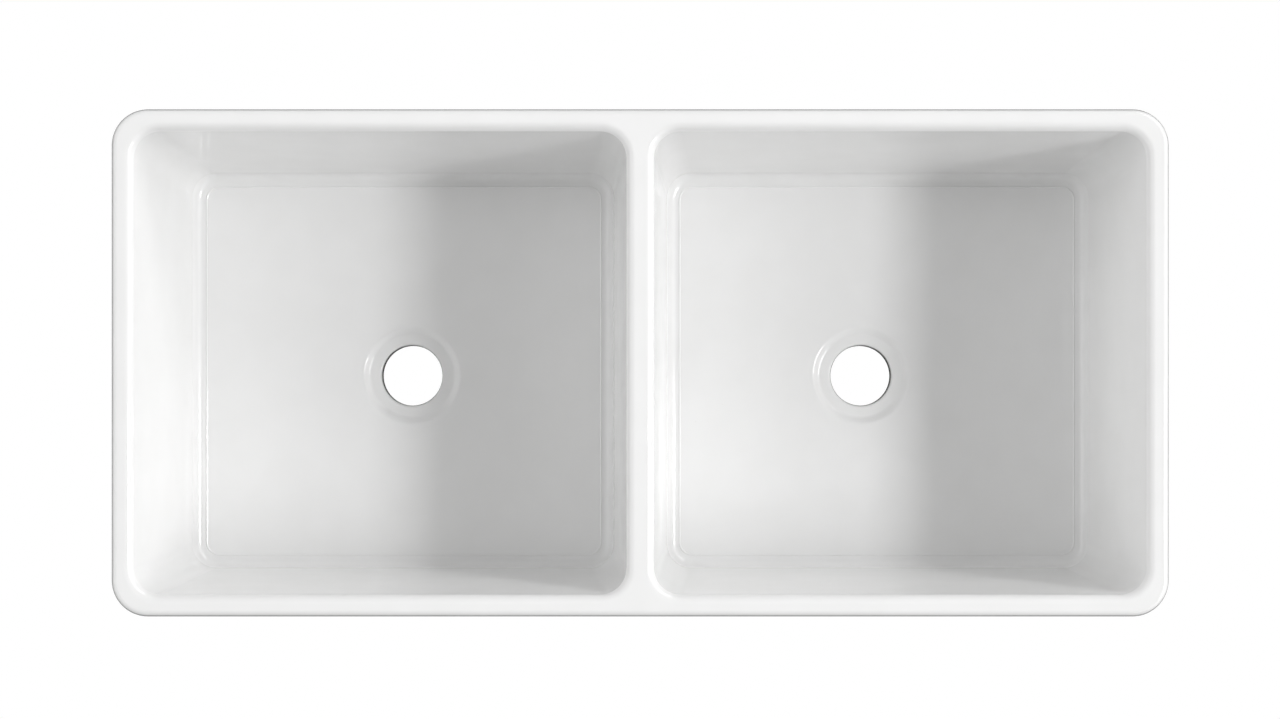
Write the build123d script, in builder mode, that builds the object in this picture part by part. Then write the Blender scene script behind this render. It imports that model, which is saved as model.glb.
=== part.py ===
from build123d import *
import os
from math import cos, radians, tan

# Double bowl kitchen sink in white glazed fireclay. Lengths in mm, angles in degrees.
#
# The sink is one fired piece. It is modelled as the sections of clay that are luted
# edge to edge before glaze and fire make them one: the front and back walls with the
# bowls' corners, two end walls and a divider that stand between them, and for each
# bowl a floor and the ring round its outlet.
#
# The origin is the middle of the footprint, on the plane that the sink stands on.
# +X runs along the sink to the right-hand bowl, +Y to its back, +Z up to its rim.

# ---- Driving dimensions ----

# Outside
sink_length = 990.0
sink_width = 475.0
sink_height = 250.0
outer_corner_radius = 34.0
outer_draft = 1.0            # the outside narrows a little towards the foot
foot_round = 8.0             # bottom edge of the outside

# Rim
rim_thickness = 20.0         # clay between the outside and a bowl, at the rim
rim_outer_round = 6.0
rim_inner_round = 8.0

# Bowls
floor_thickness = 25.0       # clay under a bowl, where the floor meets the walls
bowl_draft = 4.0             # lean of the bowl walls from upright
bowl_corner_radius = 25.0    # the upright corners of a bowl
cove_radius = 12.0           # hollow curve where a wall runs into the floor
floor_fall = 2.0             # the floor falls this much to the outlet ring
divider_thickness = 25.0     # clay between the two bowls, at the rim

# Hollow under the divider, open below, which keeps the clay even as it fires
divider_skin = 18.0          # clay left between the hollow and a bowl
divider_hollow_top = 9.0     # width of the hollow where it ends inside the divider
divider_hollow_end = 14.0    # from the hollow's end to the bowls' front or back, at the rim
divider_hollow_round = 3.0

# Underside of each floor, raised so that only the foot bears
underside_relief = 4.0
relief_margin = 5.0          # full-depth clay kept round the raised part
relief_corner_radius = 16.0

# Outlets. Each lies off its bowl's centre, towards the divider and the front.
left_outlet_shift = 8.0
right_outlet_shift = 16.0
outlet_forward = 4.5
outlet_bore_radius = 31.0
outlet_lip_chamfer = 3.0     # lip between the seat and the bore
outlet_mouth_chamfer = 1.5   # lower edge of the bore
seat_radius = 43.5           # flat seat for a waste flange
recess_radius = 49.5         # edge of the recess, where the floor begins to dip
recess_depth = 4.5
ring_margin = 10.5           # flat clay between the recess and the ring's joint

# Joints between the clay sections
joint_margin = 1.5           # a joint stays this clear of the curved clay beside it

# ---- Worked out from the driving dimensions ----

bowl_length = (sink_length - 2 * rim_thickness - divider_thickness) / 2
bowl_width = sink_width - 2 * rim_thickness
bowl_centre = (bowl_length + divider_thickness) / 2
bowl_depth = sink_height - floor_thickness

# How far in from the rim a wall meets the floor, and how much further the cove ends
wall_lean = bowl_depth * tan(radians(bowl_draft))
cove_reach = cove_radius * tan(radians(90 - bowl_draft) / 2)

# A floor ends where the bowl's corners begin to turn, towards the front and the back,
# and where the coves begin, towards the end wall and the divider.
floor_width = bowl_width - 2 * (wall_lean + bowl_corner_radius + joint_margin)
floor_length = bowl_length - 2 * (wall_lean + cove_reach + joint_margin)

# The hollow's sides run parallel to the bowl walls, divider_skin inside them, up to
# where it is divider_hollow_top wide
divider_foot = divider_thickness + 2 * sink_height * tan(radians(bowl_draft))
hollow_width = divider_foot - 2 * divider_skin / cos(radians(bowl_draft))
hollow_height = (hollow_width - divider_hollow_top) / (2 * tan(radians(bowl_draft)))
hollow_length = bowl_width - 2 * divider_hollow_end

ring_radius = recess_radius + ring_margin
ring_level = floor_thickness - floor_fall
seat_level = ring_level - recess_depth

outlet_centres = {
    "left": (-bowl_centre + left_outlet_shift, -outlet_forward),
    "right": (bowl_centre - right_outlet_shift, -outlet_forward),
}

near = 0.01                  # heights closer than this are the same height


def lies_at(height):
    """A test for edges that lie flat at this height."""
    def lies(edge):
        box = edge.bounding_box()
        return abs(box.min.Z - height) < near and box.size.Z < near
    return lies


def climbs_from(height):
    """A test for edges and faces that rise from this height."""
    def climbs(shape):
        box = shape.bounding_box()
        return abs(box.min.Z - height) < near and box.size.Z > near
    return climbs


# ---- The clay form that the walls and the divider are cut from ----

with BuildPart() as clay:
    # The outside, at full size where the rim begins to round, and narrower at the foot
    with BuildSketch():
        Rectangle(sink_length, sink_width)
    extrude(amount=sink_height)
    rim_begins = Plane.XY.offset(sink_height - rim_outer_round)
    draft(clay.faces().filter_by(climbs_from(0)), rim_begins, -outer_draft)
    fillet(clay.edges().filter_by(climbs_from(0)), outer_corner_radius)
    fillet(clay.faces().sort_by(Axis.Z)[-1].edges(), rim_outer_round)
    fillet(clay.faces().sort_by(Axis.Z)[0].edges(), foot_round)

    # The bowls, narrower at the floor, with their corners, coves and rounded mouths
    with BuildSketch(Plane.XY.offset(sink_height)):
        with Locations((-bowl_centre, 0), (bowl_centre, 0)):
            Rectangle(bowl_length, bowl_width)
    extrude(amount=-bowl_depth, mode=Mode.SUBTRACT)
    bowl_walls = clay.faces().filter_by(climbs_from(floor_thickness))
    draft(bowl_walls, Plane.XY.offset(sink_height), bowl_draft)
    fillet(clay.edges().filter_by(climbs_from(floor_thickness)), bowl_corner_radius)
    fillet(clay.edges().filter_by(lies_at(floor_thickness)), cove_radius)
    bowl_mouths = clay.faces().sort_by(Axis.Z)[-1].inner_wires()
    fillet([edge for mouth in bowl_mouths for edge in mouth.edges()], rim_inner_round)

    # The hollow under the divider, narrower at its top
    solid_faces = clay.faces()
    solid_edges = clay.edges()
    with BuildSketch():
        Rectangle(hollow_width, hollow_length)
    extrude(amount=hollow_height, mode=Mode.SUBTRACT)
    hollow_walls = (clay.faces() - solid_faces).filter_by(climbs_from(0))
    draft(hollow_walls, Plane.XY, -bowl_draft)
    hollow_corners = (clay.edges() - solid_edges).filter_by(climbs_from(0))
    fillet(hollow_corners, divider_hollow_round)

os.makedirs("parts", exist_ok=True)

# ---- Walls ----

# Each is the clay that lies in a block, and the blocks reach past the outside
beyond = rim_thickness
long_block_depth = (sink_width - floor_width) / 2 + beyond
end_block_depth = sink_length / 2 - bowl_centre - floor_length / 2 + beyond

for name, way in (("front_wall", -1), ("back_wall", 1)):
    with BuildPart() as long_wall:
        with BuildSketch():
            with Locations((0, way * (floor_width + long_block_depth) / 2)):
                Rectangle(sink_length + 2 * beyond, long_block_depth)
        extrude(amount=sink_height)
        add(clay.part, mode=Mode.INTERSECT)
    long_wall.part.label = name
    export_step(long_wall.part, f"parts/{name}.step")

for name, way in (("left_end_wall", -1), ("right_end_wall", 1)):
    with BuildPart() as end_wall:
        with BuildSketch():
            with Locations((way * (bowl_centre + (floor_length + end_block_depth) / 2), 0)):
                Rectangle(end_block_depth, floor_width)
        extrude(amount=sink_height)
        add(clay.part, mode=Mode.INTERSECT)
    end_wall.part.label = name
    export_step(end_wall.part, f"parts/{name}.step")

with BuildPart() as centre_divider:
    with BuildSketch():
        Rectangle(2 * bowl_centre - floor_length, floor_width)
    extrude(amount=sink_height)
    add(clay.part, mode=Mode.INTERSECT)
centre_divider.part.label = "centre_divider"
export_step(centre_divider.part, "parts/centre_divider.step")

# ---- Floors and outlets ----

# The fall runs down to a level square that just clears the outlet ring
ring_square = 2 * (ring_radius + joint_margin)

for side, way in (("left", -1), ("right", 1)):
    bowl_x = way * bowl_centre
    outlet_x, outlet_y = outlet_centres[side]
    # The square's near corner, measured from the corner of the floor
    square_x = (floor_length - ring_square) / 2 + outlet_x - bowl_x
    square_y = (floor_width - ring_square) / 2 + outlet_y

    with BuildPart() as bowl_floor:
        with BuildSketch(Plane((bowl_x, 0, 0))):
            Rectangle(floor_length, floor_width)
        extrude(amount=floor_thickness)
        # The top falls from all four sides. The wedge's y runs down, and its z to the back.
        with Locations((bowl_x, 0, floor_thickness)):
            Wedge(
                xsize=floor_length,
                ysize=floor_fall,
                zsize=floor_width,
                xmin=square_x,
                zmin=square_y,
                xmax=square_x + ring_square,
                zmax=square_y + ring_square,
                rotation=(-90, 0, 0),
                align=(Align.CENTER, Align.MIN, Align.CENTER),
                mode=Mode.SUBTRACT,
            )
        # The underside is raised inside the foot
        with BuildSketch(Plane((bowl_x, 0, 0))):
            RectangleRounded(
                floor_length - 2 * relief_margin,
                floor_width - 2 * relief_margin,
                relief_corner_radius,
            )
        extrude(amount=underside_relief, mode=Mode.SUBTRACT)
        # The hole that the outlet ring fills
        with Locations((outlet_x, outlet_y, floor_thickness)):
            Hole(ring_radius)
    bowl_floor.part.label = f"{side}_floor"
    export_step(bowl_floor.part, f"parts/{side}_floor.step")

    with BuildPart() as outlet:
        # Half section, from the joint over the recess, seat and lip into the bore
        with BuildSketch(Plane((outlet_x, outlet_y, 0), x_dir=(1, 0, 0), z_dir=(0, -1, 0))):
            with BuildLine():
                Polyline(
                    (ring_radius, underside_relief),
                    (ring_radius, ring_level),
                    (recess_radius, ring_level),
                    (seat_radius, seat_level),
                    (outlet_bore_radius + outlet_lip_chamfer, seat_level),
                    (outlet_bore_radius, seat_level - outlet_lip_chamfer),
                    (outlet_bore_radius, underside_relief + outlet_mouth_chamfer),
                    (outlet_bore_radius + outlet_mouth_chamfer, underside_relief),
                    close=True,
                )
            make_face()
        revolve(axis=Axis((outlet_x, outlet_y, 0), (0, 0, 1)))
    outlet.part.label = f"{side}_outlet"
    export_step(outlet.part, f"parts/{side}_outlet.step")
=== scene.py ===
# %% [markdown]
# # A double bowl fireclay sink
#
# The object is a kitchen sink in white glazed fireclay: one fired piece with two square
# bowls, a low wall between them and a round outlet in each floor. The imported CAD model
# gives every size, so this lesson starts by loading it. What it adds is the part of the
# look that a faceted CAD mesh can't give: one unbroken skin of glaze with evenly curved
# corners, the bare clay underneath, and the finish of both.

# %% Load the frame
from math import atan2, cos, pi, radians, tan

import bmesh
import bpy
from mathutils import Matrix, Vector


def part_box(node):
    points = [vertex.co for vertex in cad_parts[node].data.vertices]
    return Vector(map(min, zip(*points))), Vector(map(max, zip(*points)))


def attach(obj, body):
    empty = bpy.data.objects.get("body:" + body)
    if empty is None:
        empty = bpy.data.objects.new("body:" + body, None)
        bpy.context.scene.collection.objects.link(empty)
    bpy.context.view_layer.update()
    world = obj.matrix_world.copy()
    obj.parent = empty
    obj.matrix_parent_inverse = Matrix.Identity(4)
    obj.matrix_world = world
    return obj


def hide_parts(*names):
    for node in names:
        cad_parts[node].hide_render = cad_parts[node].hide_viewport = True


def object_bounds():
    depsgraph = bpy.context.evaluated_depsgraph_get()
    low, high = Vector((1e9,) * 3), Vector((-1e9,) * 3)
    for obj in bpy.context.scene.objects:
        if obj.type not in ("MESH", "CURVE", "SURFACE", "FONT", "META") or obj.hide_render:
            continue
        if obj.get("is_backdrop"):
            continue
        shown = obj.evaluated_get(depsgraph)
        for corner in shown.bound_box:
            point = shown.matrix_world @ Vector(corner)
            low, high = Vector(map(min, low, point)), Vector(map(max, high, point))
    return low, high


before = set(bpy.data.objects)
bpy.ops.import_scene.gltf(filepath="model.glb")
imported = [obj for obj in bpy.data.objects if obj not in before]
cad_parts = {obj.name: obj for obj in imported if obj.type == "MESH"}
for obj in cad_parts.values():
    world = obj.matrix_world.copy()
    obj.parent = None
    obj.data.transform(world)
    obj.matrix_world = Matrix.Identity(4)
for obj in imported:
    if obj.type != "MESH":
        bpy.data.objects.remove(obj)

cad_low, cad_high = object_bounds()
print("CAD box, mm:", [round(1000 * side, 1) for side in cad_high - cad_low])

# %% [markdown]
# Blender works in metres and the sink's dimensions are in millimetres, so each is written
# as a number of millimetres times MM. The large ones are read from the frame: the size of
# the whole, the level of the floors, the joints and the outlets. The small ones, which the
# boxes of the nodes don't show, are the radii that a maker of such a sink would name.

# %% Sizes of the sink
MM = 0.001
RIGHT_ANGLE = pi / 2

length = cad_high.x - cad_low.x
width = cad_high.y - cad_low.y
height = cad_high.z
outer_corner = 34 * MM
outer_draft = radians(1)
rim_thickness = 20 * MM
rim_outer_round = 6 * MM
rim_inner_round = 8 * MM
foot_round = 8 * MM

bowl_draft = radians(4)
bowl_corner = 25 * MM
cove = 12 * MM
divider_thickness = 25 * MM
bowl_length = (length - 2 * rim_thickness - divider_thickness) / 2
bowl_width = width - 2 * rim_thickness
bowl_centre = (bowl_length + divider_thickness) / 2
floor_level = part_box("left_floor")[1].z
bowl_depth = height - floor_level
wall_lean = bowl_depth * tan(bowl_draft)

ring_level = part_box("left_outlet")[1].z
ring_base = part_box("left_outlet")[0].z
ring_radius = (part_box("left_outlet")[1].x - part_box("left_outlet")[0].x) / 2

print("bowl at the rim, mm:", round(bowl_length / MM, 1), "by", round(bowl_width / MM, 1))
print("floor at", round(floor_level / MM, 1), "mm, outlet ring at", round(ring_level / MM, 1), "mm")

# %% [markdown]
# Every piece below is modelled as by hand: a primitive is added at its size and place, and
# shaped in edit mode. In a script the clicking is the only thing that differs. A face or an
# edge is picked by asking where it lies or which way it looks, with a short test. These
# helpers enter edit mode with nothing selected, pick, and leave again.

# %% Helpers for selecting by place
NEAR = 0.05 * MM


def open_piece(piece):
    """Selects one piece alone and opens it in edit mode."""
    bpy.ops.object.select_all(action="DESELECT")
    piece.select_set(True)
    bpy.context.view_layer.objects.active = piece
    bpy.ops.object.mode_set(mode="EDIT")


def start_piece(name):
    """Names the primitive that was just added, sets it at the origin and opens it."""
    piece = bpy.context.object
    piece.name = name
    piece.data.name = name
    bpy.ops.object.transform_apply(location=True, rotation=True, scale=True)
    open_piece(piece)
    return piece


def pick(piece, faces=None, edges=None, verts=None, more=False):
    """Selects the faces, edges or vertices that pass a test, in edit mode."""
    mesh = bmesh.from_edit_mesh(piece.data)
    mode = "FACE" if faces else "EDGE" if edges else "VERT"
    if not more:
        bpy.ops.mesh.select_all(action="DESELECT")
    bpy.ops.mesh.select_mode(type=mode)
    kinds = {"FACE": mesh.faces, "EDGE": mesh.edges, "VERT": mesh.verts}[mode]
    found = [item for item in kinds if (faces or edges or verts)(item)]
    for item in found:
        item.select_set(True)
    mesh.select_flush_mode()
    bmesh.update_edit_mesh(piece.data)
    return len(found)


def close_piece():
    bpy.ops.object.mode_set(mode="OBJECT")


def at_height(z):
    """A test for a face, an edge or a vertex that lies flat at this height."""
    return lambda item: all(abs(v.co.z - z) < NEAR for v in getattr(item, "verts", [item]))


def upright(edge):
    """A test for an edge that climbs more than it runs."""
    a, b = edge.verts
    return abs(a.co.z - b.co.z) > abs((a.co.xy - b.co.xy).length)


bpy.ops.object.select_all(action="DESELECT")

# %% [markdown]
# The outside is a block of clay, a degree narrower at the foot so that it leaves its mould.
# A cube is the natural start: its lower face is scaled in, its four upright edges get the
# large corner radius, and only then are the loops round the rim and the foot rounded,
# because a bevel that follows a curved corner needs the corner to be there already. The
# offset of a bevel is measured along the face, so it is the radius over the tangent of half
# the angle between the two faces.

# %% The outside of the sink
CORNER_STEPS = 20
ROUND_STEPS = 8


def bevel_offset(radius, angle_between_faces):
    """How far from its edge a round of this radius begins."""
    return radius / tan(angle_between_faces / 2)


grow = rim_outer_round * tan(outer_draft)
shrink = (height - rim_outer_round) * tan(outer_draft)
bpy.ops.mesh.primitive_cube_add(
    size=1,
    location=(0, 0, height / 2),
    scale=(length + 2 * grow, width + 2 * grow, height),
)
body = start_piece("glazed_body")
pick(body, faces=at_height(0))
bpy.ops.transform.resize(
    value=(
        (length - 2 * shrink) / (length + 2 * grow),
        (width - 2 * shrink) / (width + 2 * grow),
        1,
    ),
    center_override=(0, 0, 0),
)
pick(body, edges=upright)
bpy.ops.mesh.bevel(offset=outer_corner, segments=CORNER_STEPS, affect="EDGES")
pick(body, edges=at_height(height))
rim_offset = bevel_offset(rim_outer_round, RIGHT_ANGLE - outer_draft)
bpy.ops.mesh.bevel(offset=rim_offset, segments=ROUND_STEPS, affect="EDGES")
pick(body, edges=at_height(0))
foot_offset = bevel_offset(foot_round, RIGHT_ANGLE + outer_draft)
bpy.ops.mesh.bevel(offset=foot_offset, segments=ROUND_STEPS, affect="EDGES")

# The flat top and bottom go, because the bowls and the underside take their place
pick(body, faces=at_height(height))
bpy.ops.mesh.delete(type="FACE")
pick(body, faces=at_height(0))
bpy.ops.mesh.delete(type="FACE")
close_piece()
print("outside:", len(body.data.polygons), "faces")

# %% [markdown]
# A bowl starts as a flat plate at the rim, a little larger than the bowl's mouth. Rounding
# the plate's corners and insetting it leaves a narrow flange round the mouth, and the inner
# face is pushed down to the floor. To lean the walls, each half of the floor is moved in by
# the same amount, which keeps the corner radius the same all the way down, where scaling
# would tighten it. Then the straight runs are divided, the edge of the floor gets its cove,
# a fine raised line is set where the cove ends, as the seam of the plaster mould leaves it,
# and the mouth is rounded over.

# %% The two bowls
FLANGE = 9 * MM
CORNER_CUTS = 12
RUN_CUTS = 19
LONG_RUN = 100 * MM
COVE_STEPS = 10
STRIPS = 3
MOULD_LINE = 0.7 * MM
MOULD_LINE_HEIGHT = 0.4 * MM

cove_reach = bevel_offset(cove, RIGHT_ANGLE + bowl_draft)
mouth_reach = bevel_offset(rim_inner_round, RIGHT_ANGLE + bowl_draft)
floor_corner = bowl_corner - cove_reach


def press_tub(name, centre, size, corner, level, depth, lean, flange=0.0):
    """A plate with rounded corners, pressed down (or up) with leaning walls. It stays open."""
    bpy.ops.mesh.primitive_plane_add(size=1, location=(centre[0], centre[1], level))
    bpy.ops.transform.resize(value=(size[0] + 2 * flange, size[1] + 2 * flange, 1))
    tub = start_piece(name)
    pick(tub, verts=lambda v: True)
    bpy.ops.mesh.bevel(offset=corner + flange, segments=CORNER_CUTS, affect="VERTICES")
    pick(tub, faces=lambda f: True)
    if flange:
        bpy.ops.mesh.inset(thickness=flange, use_even_offset=True)
    bpy.ops.mesh.extrude_region_move(TRANSFORM_OT_translate={"value": (0, 0, -depth)})
    floor = level - depth
    for axis in (0, 1):
        for side in (-1, 1):
            def on_this_side(vert):
                return at_height(floor)(vert) and side * (vert.co[axis] - centre[axis]) > 0
            pick(tub, verts=on_this_side)
            move = [0, 0, 0]
            move[axis] = -side * lean
            bpy.ops.transform.translate(value=move)
    if not flange:
        pick(tub, faces=at_height(level))
        bpy.ops.mesh.delete(type="FACE")
    return tub


def divide_runs(tub):
    """Cuts the straight runs of a tub, which are all longer than LONG_RUN, into equal lengths."""
    pick(tub, faces=at_height(floor_level))
    bpy.ops.mesh.delete(type="ONLY_FACE")
    for axis in (0, 1):
        pick(tub, edges=lambda e: abs(e.verts[0].co[axis] - e.verts[1].co[axis]) > LONG_RUN)
        bpy.ops.mesh.subdivide(number_cuts=RUN_CUTS)
    pick(tub, edges=at_height(floor_level))
    bpy.ops.mesh.edge_face_add()


tub = press_tub(
    "left_bowl",
    (-bowl_centre, 0),
    (bowl_length, bowl_width),
    bowl_corner,
    height,
    bowl_depth,
    wall_lean,
    FLANGE,
)
divide_runs(tub)
pick(tub, edges=at_height(floor_level))
bpy.ops.mesh.bevel(offset=cove_reach, segments=COVE_STEPS, affect="EDGES")

# The mould line is the middle one of three narrow strips, a little higher than the floor
pick(tub, faces=at_height(floor_level))
for _ in range(STRIPS):
    bpy.ops.mesh.inset(thickness=MOULD_LINE, use_even_offset=True)


def on_mould_line(vert):
    """A test for the two middle loops of the strips round the floor."""
    corner_x = bowl_length / 2 - wall_lean - bowl_corner
    corner_y = bowl_width / 2 - wall_lean - bowl_corner
    past_corner = (
        max(abs(vert.co.x + bowl_centre) - corner_x, 0),
        max(abs(vert.co.y) - corner_y, 0),
    )
    inside = floor_corner - Vector(past_corner).length
    return at_height(floor_level)(vert) and 0.5 * MOULD_LINE < inside < 2.5 * MOULD_LINE


pick(tub, verts=on_mould_line)
bpy.ops.transform.translate(value=(0, 0, MOULD_LINE_HEIGHT))


def round_the_mouth(edge):
    """A test for an edge of the bowl's mouth: level with the rim, clear of the flange's edge."""
    return at_height(height)(edge) and not any(v.is_boundary for v in edge.verts)


pick(tub, edges=round_the_mouth)
bpy.ops.mesh.bevel(offset=mouth_reach, segments=ROUND_STEPS, affect="EDGES")
close_piece()
print("one bowl:", len(tub.data.polygons), "faces")

# %% [markdown]
# The two bowls come from one mould, so the right-hand one is a copy. It is made before the
# outlets go in, because those lie at different places in the two bowls.

# %% A copy for the right-hand bowl
bpy.ops.object.duplicate()
other_tub = bpy.context.object
other_tub.name = "right_bowl"
bpy.ops.transform.translate(value=(2 * bowl_centre, 0, 0))
bpy.ops.object.transform_apply(location=True, rotation=True, scale=True)
tub_start = min(vert.co.x for vert in other_tub.data.vertices)
print("right-hand bowl starts at x, mm:", round(tub_start / MM, 1))

# %% [markdown]
# The floors fall two millimetres to their outlets, so that the bowls drain. The flat floor
# is taken out, a circle of as many points as the floor's edge is set at the outlet, and the
# two are bridged with rings of faces. Lowering the circle with proportional editing turns
# the flat floor into a shallow dish without a single crease, which a glossy surface would
# show at once. Its edge is then drawn down through the clay as the wall of the hole.

# %% Floors that fall to their outlets
FLOOR_CUTS = 14
DISH_REACH = 118 * MM
ring_points = 4 * (CORNER_CUTS + RUN_CUTS + 1)


def outlet_place(side):
    """Where the middle of an outlet is, read from its CAD node."""
    low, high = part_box(f"{side}_outlet")
    return (low.x + high.x) / 2, (low.y + high.y) / 2


def on_circle(centre, radius, z):
    """A test for an edge or a vertex of the circle round this middle, at one height."""
    def test(item):
        return at_height(z)(item) and all(
            abs((v.co.xy - Vector(centre)).length - radius) < NEAR
            for v in getattr(item, "verts", [item])
        )
    return test


for bowl, side in ((tub, "left"), (other_tub, "right")):
    centre = outlet_place(side)
    open_piece(bowl)
    pick(bowl, faces=at_height(floor_level))
    bpy.ops.mesh.delete(type="ONLY_FACE")
    bpy.ops.mesh.primitive_circle_add(
        vertices=ring_points, radius=ring_radius, location=(*centre, floor_level)
    )
    pick(bowl, edges=lambda e: len(e.link_faces) < 2 and at_height(floor_level)(e))
    bpy.ops.mesh.bridge_edge_loops(number_cuts=FLOOR_CUTS, interpolation="LINEAR")
    pick(bowl, verts=on_circle(centre, ring_radius, floor_level))
    bpy.ops.transform.translate(
        value=(0, 0, ring_level - floor_level),
        use_proportional_edit=True,
        use_proportional_connected=True,
        proportional_edit_falloff="SMOOTH",
        proportional_size=DISH_REACH,
    )
    pick(bowl, edges=on_circle(centre, ring_radius, ring_level))
    bpy.ops.mesh.extrude_region_move(
        TRANSFORM_OT_translate={"value": (0, 0, ring_base - ring_level)}
    )
    close_piece()
    print(bowl.name, "floor falls to", [round(c / MM, 2) for c in centre], "mm")

# %% [markdown]
# Nobody sees the underside once the sink is fitted, but it is part of it. Only a foot round
# the edge and between the bowls bears on the shelf. Inside it the clay is raised a few
# millimetres under each bowl, and a deep slot runs up inside the divider, because clay
# that is much thicker in one place cracks in the fire. All three are pressed upwards with
# the same helper as the bowls.

# %% The underside
relief_margin = 5 * MM
relief_corner = 16 * MM
divider_skin = 18 * MM
hollow_top = 9 * MM
hollow_end = 14 * MM
hollow_corner = 3 * MM

divider_foot = divider_thickness + 2 * height * tan(bowl_draft)
hollow_width = divider_foot - 2 * divider_skin / cos(bowl_draft)
hollow_rise = (hollow_width - hollow_top) / (2 * tan(bowl_draft))
hollow_length = bowl_width - 2 * hollow_end

reliefs = []
for side in ("left", "right"):
    low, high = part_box(f"{side}_floor")
    relief = press_tub(
        f"{side}_relief",
        ((low.x + high.x) / 2, 0),
        (high.x - low.x - 2 * relief_margin, high.y - low.y - 2 * relief_margin),
        relief_corner,
        0,
        -ring_base,
        0,
    )
    pick(relief, faces=at_height(ring_base))
    bpy.ops.mesh.delete(type="ONLY_FACE")
    close_piece()
    reliefs.append(relief)

hollow = press_tub(
    "hollow",
    (0, 0),
    (hollow_width, hollow_length),
    hollow_corner,
    0,
    -hollow_rise,
    (hollow_width - hollow_top) / 2,
)
close_piece()
print("slot in the divider, mm:", round(hollow_width / MM, 1), "by", round(hollow_rise / MM))

# %% [markdown]
# Now the parts become one skin. They are joined into one object, and the three levels that
# are still open are filled: the flat of the rim between the outside and the bowls, the foot
# and the two raised ceilings. Fill understands loops inside loops, so it leaves the bowls
# open, and it uses the vertices that are there, so no seam is left to weld. Only when the
# skin is closed can its normals be made to agree.

# %% One skin
bpy.ops.object.select_all(action="DESELECT")
for part in (tub, other_tub, *reliefs, hollow, body):
    part.select_set(True)
bpy.context.view_layer.objects.active = body
bpy.ops.object.join()
open_piece(body)
for level in (height, ring_base, 0):
    pick(body, edges=lambda e: e.is_boundary and at_height(level)(e))
    bpy.ops.mesh.fill(use_beauty=True)
bpy.ops.mesh.select_all(action="SELECT")
bpy.ops.mesh.normals_make_consistent(inside=False)
close_piece()


def check_closed(piece):
    """Prints a piece's faces, open edges and volume."""
    mesh = bmesh.new()
    mesh.from_mesh(piece.data)
    loose = sum(not edge.is_manifold for edge in mesh.edges)
    litres = 1000 * mesh.calc_volume(signed=True)
    mesh.free()
    faces = len(piece.data.polygons)
    print(piece.name, faces, "faces,", loose, "open edges,", round(litres, 2), "litres")


check_closed(body)

# %% [markdown]
# Each outlet is a ring of clay round a bore, with a recess for the flange of a waste. It is
# a turned shape, so it is made like a turned pot: a circle is extruded from station to
# station round the section, each time scaled about the middle of the outlet, and the last
# loop is bridged to the first. The edges that water and hands meet are softened with
# bevels afterwards, because glaze flows off a sharp edge as it melts.

# %% The outlets
recess_depth = 4.5 * MM
recess_radius = 49.5 * MM
seat_radius = 43.5 * MM
bore_radius = 31 * MM
recess_round = 5 * MM
lip_round = 3 * MM
mouth_round = 1.5 * MM
SOFT_STEPS = 6

seat_level = ring_level - recess_depth
over_the_slope = pi - atan2(recess_depth, recess_radius - seat_radius)
stations = [
    (ring_radius, ring_level),
    (recess_radius, ring_level),
    (seat_radius, seat_level),
    (bore_radius, seat_level),
    (bore_radius, ring_base),
    (ring_radius, ring_base),
]
centre = outlet_place("left")
bpy.ops.mesh.primitive_circle_add(
    vertices=ring_points, radius=stations[0][0], location=(*centre, stations[0][1])
)
outlet = start_piece("left_outlet_ring")
for (radius, z), (next_radius, next_z) in zip(stations, stations[1:]):
    bpy.ops.mesh.extrude_region_move(TRANSFORM_OT_translate={"value": (0, 0, next_z - z)})
    scale = next_radius / radius
    bpy.ops.transform.resize(value=(scale, scale, 1), center_override=(*centre, 0))
pick(outlet, edges=lambda e: e.is_boundary)
bpy.ops.mesh.bridge_edge_loops()
for radius, z, soft, angle in (
    (recess_radius, ring_level, recess_round, over_the_slope),
    (seat_radius, seat_level, recess_round, over_the_slope),
    (bore_radius, seat_level, lip_round, RIGHT_ANGLE),
    (bore_radius, ring_base, mouth_round, RIGHT_ANGLE),
):
    pick(outlet, edges=on_circle(centre, radius, z))
    bpy.ops.mesh.bevel(offset=bevel_offset(soft, angle), segments=SOFT_STEPS, affect="EDGES")
bpy.ops.mesh.select_all(action="SELECT")
bpy.ops.mesh.normals_make_consistent(inside=False)
close_piece()
check_closed(outlet)

# %% [markdown]
# The right-hand ring is the same, moved to its own place, which is a little farther from
# its bowl's middle than the left-hand one.

# %% A copy for the right-hand outlet
other_centre = outlet_place("right")
bpy.ops.object.duplicate()
other_outlet = bpy.context.object
other_outlet.name = "right_outlet_ring"
bpy.ops.transform.translate(
    value=(other_centre[0] - centre[0], other_centre[1] - centre[1], 0)
)
bpy.ops.object.transform_apply(location=True, rotation=True, scale=True)
check_closed(other_outlet)

# %% [markdown]
# Smooth shading by angle keeps the edges of the foot and of the mould line sharp and shades
# every round as a curve. On its own it would also bend the shading across the large flat
# walls, because a corner's normal is shared by faces of very different size. The Weighted
# Normal modifier lets the large faces decide, so that flat clay looks flat up to where its
# round begins.

# %% Smooth skins
SHARPEST_SMOOTH = radians(25)

for piece in (body, outlet, other_outlet):
    bpy.ops.object.select_all(action="DESELECT")
    piece.select_set(True)
    bpy.context.view_layer.objects.active = piece
    bpy.ops.object.shade_smooth_by_angle(angle=SHARPEST_SMOOTH)
    bpy.ops.object.modifier_add(type="WEIGHTED_NORMAL")
    weighting = piece.modifiers[-1]
    weighting.keep_sharp = True
    bpy.ops.object.modifier_apply(modifier=weighting.name)
    print(piece.name, "shaded smooth")

# %% [markdown]
# The two finishes of the sink are glaze and bare clay, and both are made of nodes. Wiring
# nodes in a script is long-winded, so one helper adds a node and joins its inputs. The small
# ones after it are a step of arithmetic, a smooth move from one value to another, a mix of
# two colours, and the making, placing and joining up of node groups.

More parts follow.
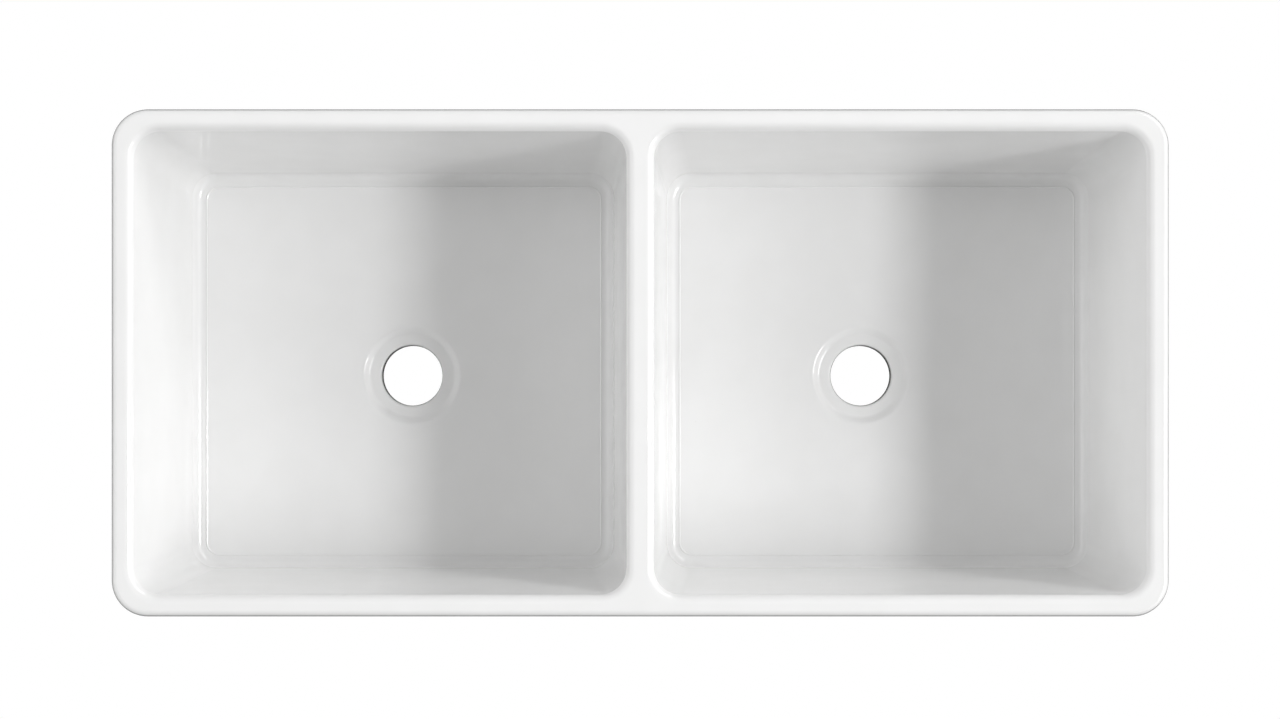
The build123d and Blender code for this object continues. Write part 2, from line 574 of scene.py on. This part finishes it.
# %% Helpers for wiring nodes
def wire(tree, kind, inputs=None, **settings):
    """Adds a node, sets it up and joins its inputs. An input is a value or an output."""
    node = tree.nodes.new(kind)
    for key, value in settings.items():
        setattr(node, key, value)
    for socket, value in (inputs or {}).items():
        if isinstance(value, bpy.types.NodeSocket):
            tree.links.new(value, node.inputs[socket])
        else:
            node.inputs[socket].default_value = value
    return node


def reckon(tree, operation, *values):
    """One step of arithmetic."""
    return wire(tree, "ShaderNodeMath", dict(enumerate(values)), operation=operation).outputs[0]


def ramp_between(tree, value, low, high, at_low=0.0, at_high=1.0):
    """Runs smoothly from at_low, where the value is low, to at_high, where it is high."""
    node = wire(
        tree,
        "ShaderNodeMapRange",
        {"Value": value, "From Min": low, "From Max": high, "To Min": at_low, "To Max": at_high},
        interpolation_type="SMOOTHSTEP",
    )
    return node.outputs["Result"]


def mix_colours(tree, share, colour, other):
    """A mix of two colours, with this share of the other."""
    node = wire(tree, "ShaderNodeMix", {0: share, 6: colour, 7: other}, data_type="RGBA")
    return node.outputs[2]


def new_group(name, inputs, outputs):
    """An empty node group with named numbers in and out."""
    group = bpy.data.node_groups.new(name, "ShaderNodeTree")
    for socket in inputs:
        group.interface.new_socket(socket, in_out="INPUT", socket_type="NodeSocketFloat")
    for socket in outputs:
        group.interface.new_socket(socket, in_out="OUTPUT", socket_type="NodeSocketFloat")
    given = group.nodes.new("NodeGroupInput").outputs
    result = group.nodes.new("NodeGroupOutput").inputs
    return group, given, result


def place_group(tree, group, values):
    """Puts a group into a material with its own values, and gives its outputs."""
    node = wire(tree, "ShaderNodeGroup", node_tree=group)
    for socket, value in values.items():
        node.inputs[socket].default_value = value
    return node.outputs


def join_to(tree, ends, starts):
    """Joins each named input to the output that is given for it."""
    for socket, start in starts.items():
        tree.links.new(start, ends[socket])


# %% [markdown]
# Both finishes share the unevenness of a fired surface. Glaze melts into slow waves a few
# centimetres across, with a fleck here and there, and bare clay is grainy with grog, the
# crushed fired clay that is mixed in against cracking. One node group makes both from
# Object coordinates: soft clouds for colour and gloss, a height for bump, and flecks. Each
# material sets its own sizes in metres, so the pattern has the same scale on every piece.

# %% Node group for a fired surface
FLECK_EDGE = 0.2 * MM
CLOUD_LOW, CLOUD_HIGH = 0.3, 0.7
WAVE_DETAIL, GRAIN_DETAIL = 1.0, 3.0

fired_surface, given, result = new_group(
    "fired_surface",
    ("Wave Size", "Grain Size", "Grain Share", "Fleck Spacing", "Fleck Size"),
    ("Cloud", "Height", "Fleck"),
)
place = wire(fired_surface, "ShaderNodeTexCoord").outputs["Object"]


def layer_of_noise(size, detail):
    """Noise whose largest lumps have this size."""
    scale = reckon(fired_surface, "DIVIDE", 1.0, size)
    inputs = {"Vector": place, "Scale": scale, "Detail": detail}
    return wire(fired_surface, "ShaderNodeTexNoise", inputs).outputs["Fac"]


waves = layer_of_noise(given["Wave Size"], WAVE_DETAIL)
grain = layer_of_noise(given["Grain Size"], GRAIN_DETAIL)
cells = wire(
    fired_surface,
    "ShaderNodeTexVoronoi",
    {"Vector": place, "Scale": reckon(fired_surface, "DIVIDE", 1.0, given["Fleck Spacing"])},
).outputs["Distance"]
from_fleck = reckon(fired_surface, "MULTIPLY", cells, given["Fleck Spacing"])
blotch = reckon(fired_surface, "MULTIPLY", given["Fleck Size"], grain)
from_blotch = reckon(fired_surface, "SUBTRACT", from_fleck, blotch)
uneven = reckon(fired_surface, "MULTIPLY", grain, given["Grain Share"])
join_to(
    fired_surface,
    result,
    {
        "Cloud": ramp_between(fired_surface, waves, CLOUD_LOW, CLOUD_HIGH),
        "Height": reckon(fired_surface, "ADD", waves, uneven),
        "Fleck": ramp_between(fired_surface, from_blotch, 0.0, FLECK_EDGE, 1.0, 0.0),
    },
)
print("fired_surface has", len(fired_surface.nodes), "nodes")

# %% [markdown]
# A line drawn by hand is never level. Before the fire the glaze is wiped off the foot with a
# sponge, or it would stick to the shelf of the kiln, and the foot itself is rubbed where it
# stood. The second group is 1 below a wavering level and 0 above it. The glaze uses it for
# its wiped edge, and the clay for the rubbed face of the foot.

# %% Node group for a wavering level
WAVERS_PER_METRE = 45.0
LEVEL_EDGE = 0.2 * MM

wavering_level, given, result = new_group("wavering_level", ("Level", "Waver"), ("Below",))
place = wire(wavering_level, "ShaderNodeTexCoord").outputs["Object"]
sway = wire(
    wavering_level,
    "ShaderNodeTexNoise",
    {"Vector": place, "Scale": WAVERS_PER_METRE, "Detail": 2.0},
).outputs["Fac"]
centred = reckon(wavering_level, "SUBTRACT", sway, 0.5)
moved = reckon(wavering_level, "MULTIPLY", centred, given["Waver"])
z = wire(wavering_level, "ShaderNodeSeparateXYZ", {0: place}).outputs["Z"]
swayed = reckon(wavering_level, "ADD", z, moved)
above = reckon(wavering_level, "SUBTRACT", swayed, given["Level"])
below = ramp_between(wavering_level, above, -LEVEL_EDGE, LEVEL_EDGE, 1.0, 0.0)
join_to(wavering_level, result, {"Below": below})
print("wavering_level has", len(wavering_level.nodes), "nodes")

# %% [markdown]
# Painted shade draws fine dark lines on the outer arris of the rim and on the lip of each
# outlet, where the surface turns away from the light; without them a white thing on white
# has no edge there. Where an effect follows the shape, the shape should say where it is:
# the share of painted shade is stored on the vertices as an attribute, and the material
# reads it.

# %% Where painted shade darkens the edges
ARRIS = 1.8 * MM
LIP = 1.0 * MM
START_OF_ROUND = 0.5 * MM


def mark_painted_edge_shade(piece, shade_at):
    """Stores on each vertex how much painted shade darkens it, from 0 to 1."""
    layer = piece.data.attributes.new("painted_edge_shade", "FLOAT", "POINT")
    for vertex, stored in zip(piece.data.vertices, layer.data):
        stored.value = shade_at(vertex.co)
    edge_shade = sum(stored.value > 0 for stored in layer.data)
    print(piece.name, "has thin glaze at", edge_shade, "vertices")


def at_outer_arris(point):
    """How near a point is to the outline of the sink, on the round of the rim."""
    if point.z < height - rim_outer_round + START_OF_ROUND:
        return 0.0
    past_x = max(abs(point.x) - length / 2 + outer_corner, 0)
    past_y = max(abs(point.y) - width / 2 + outer_corner, 0)
    inside_outline = outer_corner - Vector((past_x, past_y)).length
    return max(1 - inside_outline / ARRIS, 0)


def at_lip(middle):
    """How near a point is to the bore of the outlet round this middle."""
    return lambda point: max(1 - ((point.xy - Vector(middle)).length - bore_radius) / LIP, 0)


mark_painted_edge_shade(body, at_outer_arris)
mark_painted_edge_shade(outlet, at_lip(centre))
mark_painted_edge_shade(other_outlet, at_lip(other_centre))

# %% [markdown]
# The glaze is white, opaque and glossy. Almost all that one sees of it is what it reflects,
# so its own variation has to be faint: clouds of one or two hundredths in colour and gloss,
# waves of a few hundredths of a millimetre, and faint grey flecks half a millimetre across.
# More than that and it would look like plastic or enamel paint.

# %% The glaze
GLAZE_COLOUR = (0.855, 0.855, 0.852, 1)
PALER_GLAZE = (0.868, 0.868, 0.866, 1)
GLAZE_FLECK = (0.80, 0.795, 0.78, 1)
PAINTED_EDGE_SHADE = (0.22, 0.218, 0.215, 1)
CLAY_COLOUR = (0.67, 0.60, 0.50, 1)
GLOSSIEST, LEAST_GLOSSY, WIPED_ROUGHNESS = 0.05, 0.07, 0.75
GLAZE_IOR = 1.5


def new_material(name):
    """A material with its node tree and its Principled BSDF."""
    material = bpy.data.materials.new(name)
    material.use_nodes = True
    return material, material.node_tree, material.node_tree.nodes["Principled BSDF"]


glaze, tree, shader = new_material("white_glaze")
fired = place_group(
    tree,
    fired_surface,
    {
        "Wave Size": 40 * MM,
        "Grain Size": 4 * MM,
        "Grain Share": 0.06,
        "Fleck Spacing": 30 * MM,
        "Fleck Size": 0.6 * MM,
    },
)
foot = place_group(tree, wavering_level, {"Level": 2.5 * MM, "Waver": 4 * MM})
edge_shade = wire(tree, "ShaderNodeAttribute", attribute_name="painted_edge_shade").outputs["Fac"]

colour = mix_colours(tree, fired["Cloud"], GLAZE_COLOUR, PALER_GLAZE)
colour = mix_colours(tree, fired["Fleck"], colour, GLAZE_FLECK)
# Painted shade: fine dark lines on the rim's outer arris and the outlet lips
colour = mix_colours(tree, edge_shade, colour, PAINTED_EDGE_SHADE)
colour = mix_colours(tree, foot["Below"], colour, CLAY_COLOUR)
gloss = ramp_between(tree, fired["Cloud"], 0.0, 1.0, GLOSSIEST, LEAST_GLOSSY)
wave = wire(tree, "ShaderNodeBump", {"Height": fired["Height"], "Distance": 0.06 * MM})
join_to(
    tree,
    shader.inputs,
    {
        "Base Color": colour,
        "Roughness": ramp_between(tree, foot["Below"], 0.0, 1.0, gloss, WIPED_ROUGHNESS),
        "Normal": wave.outputs["Normal"],
    },
)
shader.inputs["IOR"].default_value = GLAZE_IOR
print("glaze has", len(tree.nodes), "nodes")

# %% [markdown]
# Bare fireclay is the colour of a pale biscuit, dull and slightly rough, with dark grains of
# grog. It uses the same groups at other sizes, and a much deeper bump.

# %% Bare clay
PALER_CLAY = (0.74, 0.68, 0.58, 1)
GROG = (0.42, 0.33, 0.25, 1)
RUBBED_CLAY = (0.50, 0.44, 0.37, 1)
RUBBED_SHARE = 0.35
CLAY_ROUGHNESS, RUBBED_ROUGHNESS = 0.85, 0.6

bare_clay, tree, shader = new_material("bare_clay")
fired = place_group(
    tree,
    fired_surface,
    {
        "Wave Size": 60 * MM,
        "Grain Size": 1.6 * MM,
        "Grain Share": 0.7,
        "Fleck Spacing": 6 * MM,
        "Fleck Size": 1.4 * MM,
    },
)
foot = place_group(tree, wavering_level, {"Level": 0.3 * MM, "Waver": 0.6 * MM})
colour = mix_colours(tree, fired["Cloud"], CLAY_COLOUR, PALER_CLAY)
colour = mix_colours(tree, fired["Fleck"], colour, GROG)
rubbed = reckon(tree, "MULTIPLY", foot["Below"], RUBBED_SHARE)
colour = mix_colours(tree, rubbed, colour, RUBBED_CLAY)
grainy = wire(tree, "ShaderNodeBump", {"Height": fired["Height"], "Distance": 0.3 * MM})
join_to(
    tree,
    shader.inputs,
    {
        "Base Color": colour,
        "Roughness": ramp_between(
            tree, foot["Below"], 0.0, 1.0, CLAY_ROUGHNESS, RUBBED_ROUGHNESS
        ),
        "Normal": grainy.outputs["Normal"],
    },
)
print("bare clay has", len(tree.nodes), "nodes")

# %% [markdown]
# The glaze covers everything that the spray can reach from above and from the sides. The
# foot, the raised ceilings behind it and the slot in the divider stay bare.

# %% Glazed faces and bare faces
STRAIGHT_DOWN = -0.98


def is_bare(face):
    """A test for a face of the underside."""
    x, y, z = abs(face.center.x), abs(face.center.y), face.center.z
    behind_foot = x < length / 2 - 2 * foot_round and y < width / 2 - 2 * foot_round
    in_slot = x < hollow_width / 2 and y < hollow_length / 2 and z < hollow_rise + NEAR
    looks_down = face.normal.z < STRAIGHT_DOWN and z < ring_base + NEAR
    return looks_down or in_slot or (behind_foot and z < ring_base)


for piece in (body, outlet, other_outlet):
    piece.data.materials.append(glaze)
    piece.data.materials.append(bare_clay)
    for face in piece.data.polygons:
        face.material_index = int(is_bare(face))
    print(piece.name, "has", sum(face.material_index for face in piece.data.polygons), "bare faces")

# %% [markdown]
# The photograph shows the sink on plain white. A floor that is lit by the same lamps would
# show their shadows, so the camera sees this one as an even white surface, save for a painted
# contact shadow round the sink's foot. Everything else, such as a reflection in the glaze,
# sees dark matt grey round the sink, painted shade that grows paler farther out. Without it,
# a white thing on white has no edge. From below the floor is clear, so that the underside can
# be looked at, and it lies a hair under the foot, because two faces at one height flicker.

# %% The floor
FLOOR_SIZE = 12
BELOW_FOOT = 0.2 * MM
CONTACT_SHADOW_REACH = 16 * MM
CONTACT_SHADOW_STRENGTH = 0.5
WHITE_INSIDE, DARK_OUTSIDE = -60 * MM, -20 * MM
DARK_AS_FAR_AS, PALE_FROM = 0.3, 2.0
PAINTED_SHADE_GREY, PALE_GREY = 0.03, 0.6

bpy.ops.mesh.primitive_plane_add(size=FLOOR_SIZE, location=(0, 0, -BELOW_FOOT))
studio_floor = bpy.context.object
studio_floor.name = "studio_floor"
bpy.ops.object.transform_apply(location=True, rotation=True, scale=True)

pale, tree, shader = new_material("studio_white")
tree.nodes.clear()


def vector_step(operation, *values):
    """One step of arithmetic with vectors, in the floor's material."""
    inputs = dict(enumerate(values))
    return wire(tree, "ShaderNodeVectorMath", inputs, operation=operation).outputs


def mix_surfaces(share, surface, other):
    """A mix of two surfaces, with this share of the other."""
    return wire(tree, "ShaderNodeMixShader", {0: share, 1: surface, 2: other}).outputs[0]


place = wire(tree, "ShaderNodeTexCoord").outputs["Object"]
past = vector_step("SUBTRACT", vector_step("ABSOLUTE", place)[0], (length / 2, width / 2, 1))[0]
gap = vector_step("LENGTH", vector_step("MAXIMUM", past, (0, 0, 0))[0])["Value"]
sides = wire(tree, "ShaderNodeSeparateXYZ", {0: past}).outputs
inwards = reckon(tree, "MAXIMUM", sides["X"], sides["Y"])

# White, with a painted contact shadow at the sink's foot, and full white again behind the outlets
painted_contact_shadow = ramp_between(tree, gap, 0.0, CONTACT_SHADOW_REACH, CONTACT_SHADOW_STRENGTH, 1.0)
behind_outlets = ramp_between(tree, inwards, WHITE_INSIDE, DARK_OUTSIDE, 1.0, 0.0)
strength = reckon(tree, "MAXIMUM", painted_contact_shadow, behind_outlets)
white = wire(tree, "ShaderNodeEmission", {"Color": (1, 1, 1, 1), "Strength": strength}).outputs[0]
# Painted shade for all rays but the camera's: dark matt grey round the sink, paler farther out
grey = ramp_between(tree, gap, DARK_AS_FAR_AS, PALE_FROM, PAINTED_SHADE_GREY, PALE_GREY)
matt = wire(tree, "ShaderNodeBsdfDiffuse", {"Color": grey}).outputs[0]
clear = wire(tree, "ShaderNodeBsdfTransparent").outputs[0]
seen = wire(tree, "ShaderNodeLightPath").outputs["Is Camera Ray"]
from_below = wire(tree, "ShaderNodeNewGeometry").outputs["Backfacing"]
surface = mix_surfaces(from_below, mix_surfaces(seen, matt, white), clear)
wire(tree, "ShaderNodeOutputMaterial", {"Surface": surface})
studio_floor.data.materials.append(pale)
studio_floor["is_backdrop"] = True
print("floor material has", len(tree.nodes), "nodes")

# %% [markdown]
# Glossy white shows its surroundings more than itself, so the room is part of the material.
# The photograph's shading was matched by a sky of four soft walls of light, one on each side,
# each given as its brightness every 15 degrees from the horizon to the top. The left and
# right walls are brightest thirty degrees up, the front and back ones are dim, and little
# light comes from near the horizon. The camera itself sees the sky as plain white.

# %% The sky
STEPS_UP = 6
sky = {
    (1, 0): (0.1, 0.85, 2.9, 1.85, 0.0, 0.0),
    (-1, 0): (0.7, 1.35, 2.6, 1.1, 0.25, 0.75),
    (0, 1): (0.0, 0.0, 0.4, 0.0, 0.0, 0.9),
    (0, -1): (0.0, 0.0, 0.15, 0.15, 0.0, 0.0),
}
TOP_OF_SKY = 0.8
BRIGHTEST = 3.0
ALMOST_NOTHING = 0.000001

world = bpy.data.worlds.new("studio")
world.use_nodes = True
tree = world.node_tree
direction = wire(tree, "ShaderNodeTexCoord").outputs["Generated"]
towards = wire(tree, "ShaderNodeSeparateXYZ", {0: direction}).outputs
risen = reckon(tree, "DIVIDE", reckon(tree, "ARCSINE", towards["Z"]), RIGHT_ANGLE)
upward = reckon(tree, "MULTIPLY", towards["Z"], towards["Z"])
level = reckon(tree, "MAXIMUM", reckon(tree, "SUBTRACT", 1.0, upward), ALMOST_NOTHING)


def share_of_wall(way_x, way_y):
    """How much one wall counts in a direction: one straight towards it, none beside it."""
    along_x = reckon(tree, "MULTIPLY", towards["X"], way_x)
    along_y = reckon(tree, "MULTIPLY", towards["Y"], way_y)
    faces = reckon(tree, "MAXIMUM", reckon(tree, "ADD", along_x, along_y), 0.0)
    return reckon(tree, "DIVIDE", reckon(tree, "MULTIPLY", faces, faces), level)


light = 0.0
for (way_x, way_y), brightness in sky.items():
    wall = wire(tree, "ShaderNodeValToRGB", {"Fac": risen})
    stops = wall.color_ramp.elements
    for step in range(1, STEPS_UP):
        stops.new(step / STEPS_UP)
    for stop, value in zip(stops, (*brightness, TOP_OF_SKY)):
        grey = value / BRIGHTEST
        stop.color = (grey, grey, grey, 1)
    share = share_of_wall(way_x, way_y)
    light = reckon(tree, "ADD", light, reckon(tree, "MULTIPLY", share, wall.outputs["Color"]))

background = tree.nodes["Background"].inputs
background["Color"].default_value = (1, 1, 1, 1)
seen = wire(tree, "ShaderNodeLightPath").outputs["Is Camera Ray"]
strength = reckon(tree, "MAXIMUM", reckon(tree, "MULTIPLY", light, BRIGHTEST), seen)
tree.links.new(strength, background["Strength"])
bpy.context.scene.world = world
bpy.context.scene.view_settings.view_transform = "Standard"
print("sky has", len(tree.nodes), "nodes")

# %% [markdown]
# Two softboxes stand in one long row, five metres to the right of the sink and five metres
# up. They give the slanted shadows in the bowls, whose edges say how high and how near they
# are, and the short white arcs round the outlets, whose ends say where each box begins and
# ends. The azimuths are in degrees, seen from the middle of the sink.

# %% Softboxes
ROW_X, ROW_Z = 4.99, 5.14
HALF_ANGLE = radians(4.5)

row_distance = Vector((ROW_X, ROW_Z)).length
towards_row = Vector((ROW_X, 0, ROW_Z)) / row_distance
along_row = Vector((0, 1, 0))
up_row = towards_row.cross(along_row)
facing = Matrix((along_row, up_row, along_row.cross(up_row))).transposed().to_4x4()
for name, from_azimuth, to_azimuth, watts in (
    ("softbox_front", -28, 1.5, 192),
    ("softbox_back", 44, 72, 480),
):
    start_y = ROW_X * tan(radians(from_azimuth))
    end_y = ROW_X * tan(radians(to_azimuth))
    softbox = bpy.data.lights.new(name, "AREA")
    softbox.shape = "RECTANGLE"
    softbox.size = end_y - start_y
    softbox.size_y = 2 * tan(HALF_ANGLE) * row_distance
    softbox.energy = watts
    stand = bpy.data.objects.new(name, softbox)
    stand.matrix_world = Matrix.Translation((ROW_X, (start_y + end_y) / 2, ROW_Z)) @ facing
    bpy.context.scene.collection.objects.link(stand)
    print(name, "is", round(softbox.size, 2), "by", round(softbox.size_y, 2), "m")

# %% [markdown]
# The photograph looks straight down from a little under two and a half metres. The camera
# isn't turned. It stands over the point that the outlines of rim and floor run together
# at, and a small shift frames the sink as in the photograph.

# %% The camera
camera_data = bpy.data.cameras.new("photo_camera")
camera_data.sensor_width = 36
camera_data.lens = 65.46
camera_data.shift_x = -0.00125
camera_data.shift_y = 0.07105
camera = bpy.data.objects.new("photo_camera", camera_data)
camera.location = (0.0013, -0.082, 2.425)
bpy.context.scene.collection.objects.link(camera)
bpy.context.scene.camera = camera
print("camera stands at, m:", [round(c, 3) for c in camera.location])

# %% [markdown]
# Last, all three new pieces ride on the sink as a whole, because nothing on it moves, and the
# CAD pieces that they take the place of are hidden. The boxes of both models are written out,
# so that it can be seen that they are the same.

# %% What each piece rides on, and the CAD parts that are hidden
for piece in (body, outlet, other_outlet):
    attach(piece, "root")
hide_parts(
    "front_wall",
    "back_wall",
    "left_end_wall",
    "right_end_wall",
    "centre_divider",
    "left_floor",
    "right_floor",
)
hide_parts("left_outlet")
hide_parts("right_outlet")

low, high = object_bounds()
print("visual box, mm:", [round(side / MM, 1) for side in high - low])
